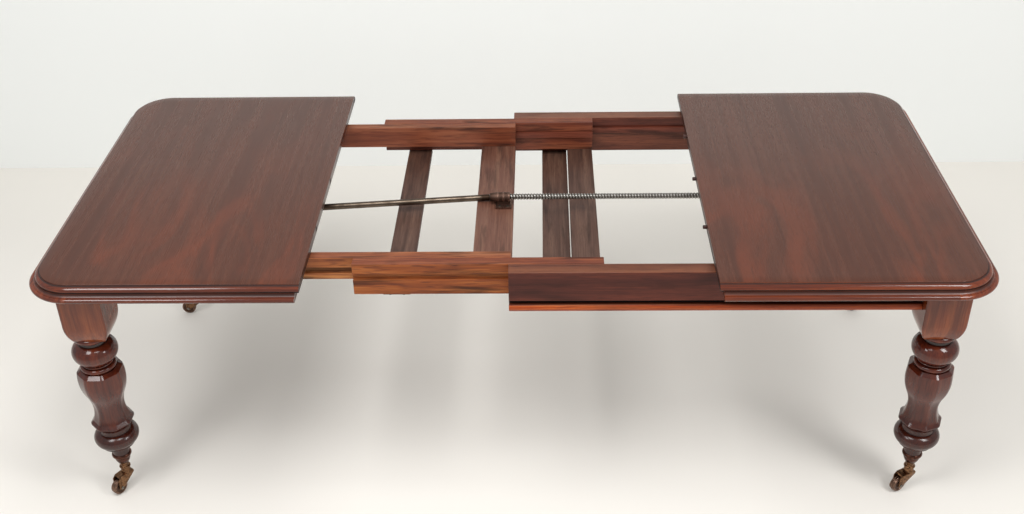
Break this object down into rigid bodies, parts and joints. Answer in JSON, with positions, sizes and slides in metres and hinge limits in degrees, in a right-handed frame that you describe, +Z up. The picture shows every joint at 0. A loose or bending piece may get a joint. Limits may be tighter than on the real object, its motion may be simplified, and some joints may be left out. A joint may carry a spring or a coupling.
{
  "type": "extending dining table",
  "caption": "Wind-out extending dining table on turned legs with castors, shown opened with its leaves out, slides and winding screw in view.",
  "frame": {"origin": "on the floor under the middle of the gap between the two opened tops, the middle of the box at its bottom", "axes": "+X along the table from the still left end to the end that slides out, +Y to the back, +Z up"},
  "size_m": [2.3254, 1.0734, 0.735],
  "materials": {
    "mahogany_top": "waxed and polished mahogany, satin gloss",
    "mahogany_moulding": "polished mahogany worked moulding",
    "mahogany_leg": "polished turned and facetted mahogany",
    "mahogany_rail": "dark stained mahogany, worn polish",
    "mahogany_bead": "polished mahogany bead",
    "mahogany_slide": "bare oiled mahogany",
    "oiled_slide": "bare oiled hardwood, rubbed pale",
    "rubbed_crossbar": "bare wood, dusty grey-brown",
    "softwood": "bare softwood",
    "peg_wood": "turned hardwood",
    "oiled_steel": "oiled dark steel",
    "cast_iron": "bare cast iron, darkened",
    "rod_iron": "brown-toned wrought iron",
    "screw_steel": "dulled steel",
    "castor_brass": "aged brass",
    "castor_pin_steel": "dulled steel",
    "castor_wheel": "dark worn brass"
  },
  "bodies": {
    "left_end": {"left_top_board": "mahogany_top", "left_edge_lining": "mahogany_moulding", "left_end_rail": "mahogany_rail", "left_front_leg": "mahogany_leg", "left_back_leg": "mahogany_leg", "left_front_slide": "oiled_slide", "left_back_slide": "oiled_slide", "left_packing_strips": "softwood", "left_crossbar": "rubbed_crossbar", "left_frame_screws": "screw_steel", "left_glue_blocks": "softwood", "nut_casting": "cast_iron", "stay_rod": "rod_iron", "stay_bracket": "cast_iron", "left_front_castor_cup": "castor_brass", "left_back_castor_cup": "castor_brass", "left_castor_pins": "castor_pin_steel"},
    "right_end": {"right_top_board": "mahogany_top", "right_edge_lining": "mahogany_moulding", "right_end_rail": "mahogany_rail", "right_front_leg": "mahogany_leg", "right_back_leg": "mahogany_leg", "right_front_slide": "mahogany_rail", "right_back_slide": "mahogany_rail", "right_slide_tongues": "mahogany_slide", "right_slide_beads": "mahogany_bead", "right_packing_strips": "softwood", "right_crossbar": "rubbed_crossbar", "right_frame_screws": "screw_steel", "right_glue_blocks": "softwood", "leaf_pegs": "peg_wood", "thrust_plate": "cast_iron", "crank_escutcheon": "castor_brass", "right_front_castor_cup": "castor_brass", "right_back_castor_cup": "castor_brass", "right_castor_pins": "castor_pin_steel"},
    "middle_frame": {"middle_front_slide": "mahogany_slide", "middle_back_slide": "mahogany_slide", "middle_slide_tongues": "mahogany_slide", "middle_left_crossbar": "rubbed_crossbar", "middle_right_crossbar": "rubbed_crossbar", "middle_frame_screws": "screw_steel"},
    "lead_screw": {"lead_screw": "oiled_steel", "thrust_collars": "oiled_steel"},
    "left_front_castor": {"left_front_castor_horn": "castor_brass", "left_front_castor_axle": "castor_pin_steel"},
    "left_front_wheel": {"left_front_castor_wheel": "castor_wheel"},
    "left_back_castor": {"left_back_castor_horn": "castor_brass", "left_back_castor_axle": "castor_pin_steel"},
    "left_back_wheel": {"left_back_castor_wheel": "castor_wheel"},
    "right_front_castor": {"right_front_castor_horn": "castor_brass", "right_front_castor_axle": "castor_pin_steel"},
    "right_front_wheel": {"right_front_castor_wheel": "castor_wheel"},
    "right_back_castor": {"right_back_castor_horn": "castor_brass", "right_back_castor_axle": "castor_pin_steel"},
    "right_back_wheel": {"right_back_castor_wheel": "castor_wheel"}
  },
  "joints": [
    {"name": "wind_out", "type": "slide", "parent": "left_end", "child": "right_end", "axis": [1, 0, 0], "range_m": [-0.9835, 0.015]},
    {"name": "middle_follow", "type": "slide", "parent": "left_end", "child": "middle_frame", "axis": [1, 0, 0], "range_m": [-0.4132, 0.0064]},
    {"name": "screw_turn", "type": "hinge", "parent": "right_end", "child": "lead_screw", "pos_m": [1, 0, 0.673], "axis": [1, 0, 0], "range_deg": [-44275, 690]},
    {"name": "left_front_swivel", "type": "hinge", "parent": "left_end", "child": "left_front_castor", "pos_m": [-1.06, -0.409, 0.09], "axis": [0, 0, 1], "continuous": true},
    {"name": "left_front_roll", "type": "hinge", "parent": "left_front_castor", "child": "left_front_wheel", "pos_m": [-1.07743, -0.43584, 0.022], "axis": [-0.8387, 0.5446, 0], "continuous": true},
    {"name": "left_back_swivel", "type": "hinge", "parent": "left_end", "child": "left_back_castor", "pos_m": [-1.06, 0.409, 0.09], "axis": [0, 0, 1], "continuous": true},
    {"name": "left_back_roll", "type": "hinge", "parent": "left_back_castor", "child": "left_back_wheel", "pos_m": [-1.092, 0.409, 0.022], "axis": [0, 1, 0], "continuous": true},
    {"name": "right_front_swivel", "type": "hinge", "parent": "right_end", "child": "right_front_castor", "pos_m": [1.06, -0.409, 0.09], "axis": [0, 0, 1], "continuous": true},
    {"name": "right_front_roll", "type": "hinge", "parent": "right_front_castor", "child": "right_front_wheel", "pos_m": [1.03201, -0.42451, 0.022], "axis": [-0.4848, 0.8746, 0], "continuous": true},
    {"name": "right_back_swivel", "type": "hinge", "parent": "right_end", "child": "right_back_castor", "pos_m": [1.06, 0.409, 0.09], "axis": [0, 0, 1], "continuous": true},
    {"name": "right_back_roll", "type": "hinge", "parent": "right_back_castor", "child": "right_back_wheel", "pos_m": [1.092, 0.409, 0.022], "axis": [0, -1, 0], "continuous": true}
  ],
  "couplings": [
    {"joint": "middle_follow", "follows": "wind_out", "ratio": 0.42},
    {"joint": "screw_turn", "follows": "wind_out", "rad_per_m": 785.4}
  ]
}
